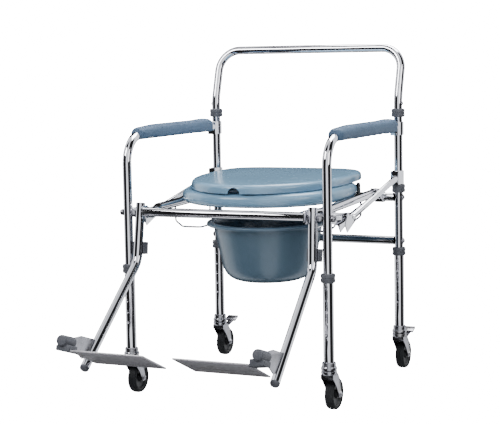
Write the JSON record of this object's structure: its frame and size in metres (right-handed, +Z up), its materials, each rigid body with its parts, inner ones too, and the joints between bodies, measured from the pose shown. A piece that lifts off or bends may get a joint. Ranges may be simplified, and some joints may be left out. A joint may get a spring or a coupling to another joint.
{
  "type": "commode chair",
  "caption": "Wheeled commode chair with a chromed tube frame, padded arms, seat ring with lid, sliding bucket, telescopic legs and swing-up footrests.",
  "frame": {"origin": "middle of the outline on the floor", "axes": "+X towards the sitter's left, +Y towards the back of the chair, +Z up"},
  "size_m": [0.571, 0.9456, 0.8498],
  "materials": {
    "chrome_tube": "polished chrome plate on steel tube",
    "zinc": "zinc plated, slightly dull",
    "collar_grey": "matt moulded plastic",
    "black_steel": "satin black paint",
    "seat_plastic": "glossy pale blue moulding",
    "bucket_plastic": "satin slate blue moulding",
    "pad_vinyl": "matt blue-grey foam",
    "tyre_rubber": "matt grey-black rubber",
    "hub_plastic": "dark grey moulding",
    "footplate_metal": "satin ribbed plate"
  },
  "bodies": {
    "back_frame": {"back_frame_tube": "chrome_tube", "rear_cross_tube_upper": "chrome_tube", "rear_cross_tube_lower": "chrome_tube", "arm_collar_left": "collar_grey", "arm_collar_right": "collar_grey", "brace_collar_left": "collar_grey", "brace_collar_right": "collar_grey"},
    "seat_frame": {"front_rail": "chrome_tube", "side_rail_left": "chrome_tube", "side_rail_right": "chrome_tube", "seat_hinge": "black_steel"},
    "seat_ring": {"seat_ring": "seat_plastic"},
    "lid": {"lid": "seat_plastic"},
    "bucket": {"bucket": "bucket_plastic"},
    "side_frame_left": {"side_frame_tube_left": "chrome_tube", "brace_left": "chrome_tube", "pivot_bolt_left": "zinc", "armrest_pad_left": "pad_vinyl", "hanger_latch_left": "collar_grey"},
    "footrest_hanger_left": {"hanger_tube_left": "chrome_tube", "footrest_bracket_left": "zinc"},
    "footplate_left": {"footplate_left": "footplate_metal", "footplate_hinge_left": "collar_grey"},
    "side_frame_right": {"side_frame_tube_right": "chrome_tube", "brace_right": "chrome_tube", "pivot_bolt_right": "zinc", "armrest_pad_right": "pad_vinyl", "hanger_latch_right": "collar_grey"},
    "footrest_hanger_right": {"hanger_tube_right": "chrome_tube", "footrest_bracket_right": "zinc"},
    "footplate_right": {"footplate_right": "footplate_metal", "footplate_hinge_right": "collar_grey"},
    "leg_extension_front_left": {"leg_extension_front_left": "chrome_tube", "leg_collar_front_left": "collar_grey"},
    "leg_button_front_left": {"leg_button_front_left": "zinc"},
    "caster_swivel_front_left": {"caster_fork_front_left": "zinc"},
    "caster_wheel_front_left": {"tyre_front_left": "tyre_rubber", "hub_front_left": "hub_plastic"},
    "leg_extension_front_right": {"leg_extension_front_right": "chrome_tube", "leg_collar_front_right": "collar_grey"},
    "leg_button_front_right": {"leg_button_front_right": "zinc"},
    "caster_swivel_front_right": {"caster_fork_front_right": "zinc"},
    "caster_wheel_front_right": {"tyre_front_right": "tyre_rubber", "hub_front_right": "hub_plastic"},
    "leg_extension_rear_left": {"leg_extension_rear_left": "chrome_tube", "leg_collar_rear_left": "collar_grey"},
    "leg_button_rear_left": {"leg_button_rear_left": "zinc"},
    "caster_swivel_rear_left": {"caster_fork_rear_left": "zinc"},
    "caster_wheel_rear_left": {"tyre_rear_left": "tyre_rubber", "hub_rear_left": "hub_plastic"},
    "brake_pedal_rear_left": {"brake_pedal_rear_left": "zinc"},
    "leg_extension_rear_right": {"leg_extension_rear_right": "chrome_tube", "leg_collar_rear_right": "collar_grey"},
    "leg_button_rear_right": {"leg_button_rear_right": "zinc"},
    "caster_swivel_rear_right": {"caster_fork_rear_right": "zinc"},
    "caster_wheel_rear_right": {"tyre_rear_right": "tyre_rubber", "hub_rear_right": "hub_plastic"},
    "brake_pedal_rear_right": {"brake_pedal_rear_right": "zinc"}
  },
  "joints": [
    {"name": "seat_frame_lift", "type": "hinge", "parent": "back_frame", "child": "seat_frame", "pos_m": [0, 0.3862, 0.454], "axis": [1, 0, 0], "range_deg": [-80, 0]},
    {"name": "seat_ring_lift", "type": "hinge", "parent": "seat_frame", "child": "seat_ring", "pos_m": [0, 0.32521, 0.48725], "axis": [1, 0, 0], "range_deg": [-96, 0]},
    {"name": "lid_open", "type": "hinge", "parent": "seat_ring", "child": "lid", "pos_m": [0, 0.32521, 0.48725], "axis": [-1, 0, 0], "range_deg": [0, 96]},
    {"name": "bucket_slide", "type": "slide", "parent": "seat_frame", "child": "bucket", "axis": [0, -0.9996, -0.029], "range_m": [0, 0.36]},
    {"name": "side_frame_left_fold", "type": "hinge", "parent": "back_frame", "child": "side_frame_left", "pos_m": [0.26, 0.3862, 0.5], "axis": [0, 0, 1], "range_deg": [0, 90]},
    {"name": "side_frame_right_fold", "type": "hinge", "parent": "back_frame", "child": "side_frame_right", "pos_m": [-0.26, 0.3862, 0.5], "axis": [0, 0, -1], "range_deg": [0, 90]},
    {"name": "leg_height_front_left", "type": "slide", "parent": "side_frame_left", "child": "leg_extension_front_left", "axis": [0, 0, -1], "range_m": [0, 0.1084]},
    {"name": "leg_button_front_left_press", "type": "slide", "parent": "side_frame_left", "child": "leg_button_front_left", "axis": [0, 1, 0], "range_m": [0, 0.003], "stiffness_N_per_m": 300, "springref_m": -0.002},
    {"name": "caster_front_left_swivel", "type": "hinge", "parent": "leg_extension_front_left", "child": "caster_swivel_front_left", "pos_m": [0.26, -0.1138, 0.0988], "axis": [0, 0, 1], "continuous": true},
    {"name": "caster_front_left_roll", "type": "hinge", "parent": "caster_swivel_front_left", "child": "caster_wheel_front_left", "pos_m": [0.26, -0.0838, 0.0375], "axis": [1, 0, 0], "continuous": true},
    {"name": "leg_height_front_right", "type": "slide", "parent": "side_frame_right", "child": "leg_extension_front_right", "axis": [0, 0, -1], "range_m": [0, 0.1084]},
    {"name": "leg_button_front_right_press", "type": "slide", "parent": "side_frame_right", "child": "leg_button_front_right", "axis": [0, 1, 0], "range_m": [0, 0.003], "stiffness_N_per_m": 300, "springref_m": -0.002},
    {"name": "caster_front_right_swivel", "type": "hinge", "parent": "leg_extension_front_right", "child": "caster_swivel_front_right", "pos_m": [-0.26, -0.1138, 0.0988], "axis": [0, 0, 1], "continuous": true},
    {"name": "caster_front_right_roll", "type": "hinge", "parent": "caster_swivel_front_right", "child": "caster_wheel_front_right", "pos_m": [-0.26, -0.0838, 0.0375], "axis": [1, 0, 0], "continuous": true},
    {"name": "leg_height_rear_left", "type": "slide", "parent": "back_frame", "child": "leg_extension_rear_left", "axis": [0, 0, -1], "range_m": [0, 0.1084]},
    {"name": "leg_button_rear_left_press", "type": "slide", "parent": "back_frame", "child": "leg_button_rear_left", "axis": [0, 1, 0], "range_m": [0, 0.003], "stiffness_N_per_m": 300, "springref_m": -0.002},
    {"name": "caster_rear_left_swivel", "type": "hinge", "parent": "leg_extension_rear_left", "child": "caster_swivel_rear_left", "pos_m": [0.26, 0.3862, 0.0988], "axis": [0, 0, 1], "continuous": true},
    {"name": "caster_rear_left_roll", "type": "hinge", "parent": "caster_swivel_rear_left", "child": "caster_wheel_rear_left", "pos_m": [0.26, 0.4162, 0.0375], "axis": [1, 0, 0], "continuous": true},
    {"name": "brake_rear_left_press", "type": "hinge", "parent": "caster_swivel_rear_left", "child": "brake_pedal_rear_left", "pos_m": [0.26, 0.4102, 0.081], "axis": [-1, 0, 0], "range_deg": [0, 15]},
    {"name": "leg_height_rear_right", "type": "slide", "parent": "back_frame", "child": "leg_extension_rear_right", "axis": [0, 0, -1], "range_m": [0, 0.1084]},
    {"name": "leg_button_rear_right_press", "type": "slide", "parent": "back_frame", "child": "leg_button_rear_right", "axis": [0, 1, 0], "range_m": [0, 0.003], "stiffness_N_per_m": 300, "springref_m": -0.002},
    {"name": "caster_rear_right_swivel", "type": "hinge", "parent": "leg_extension_rear_right", "child": "caster_swivel_rear_right", "pos_m": [-0.26, 0.3862, 0.0988], "axis": [0, 0, 1], "continuous": true},
    {"name": "caster_rear_right_roll", "type": "hinge", "parent": "caster_swivel_rear_right", "child": "caster_wheel_rear_right", "pos_m": [-0.26, 0.4162, 0.0375], "axis": [1, 0, 0], "continuous": true},
    {"name": "brake_rear_right_press", "type": "hinge", "parent": "caster_swivel_rear_right", "child": "brake_pedal_rear_right", "pos_m": [-0.26, 0.4102, 0.081], "axis": [-1, 0, 0], "range_deg": [0, 15]},
    {"name": "footrest_hanger_left_swing", "type": "hinge", "parent": "side_frame_left", "child": "footrest_hanger_left", "pos_m": [0.2246, -0.1138, 0.451], "axis": [-1, 0, 0], "range_deg": [0, 80]},
    {"name": "footplate_left_flip", "type": "hinge", "parent": "footrest_hanger_left", "child": "footplate_left", "pos_m": [0.24, -0.4458, 0.194], "axis": [0, 0.9563, -0.2924], "range_deg": [0, 90]},
    {"name": "footrest_hanger_right_swing", "type": "hinge", "parent": "side_frame_right", "child": "footrest_hanger_right", "pos_m": [-0.2246, -0.1138, 0.451], "axis": [-1, 0, 0], "range_deg": [0, 80]},
    {"name": "footplate_right_flip", "type": "hinge", "parent": "footrest_hanger_right", "child": "footplate_right", "pos_m": [-0.24, -0.4458, 0.194], "axis": [0, -0.9563, 0.2924], "range_deg": [0, 90]}
  ]
}
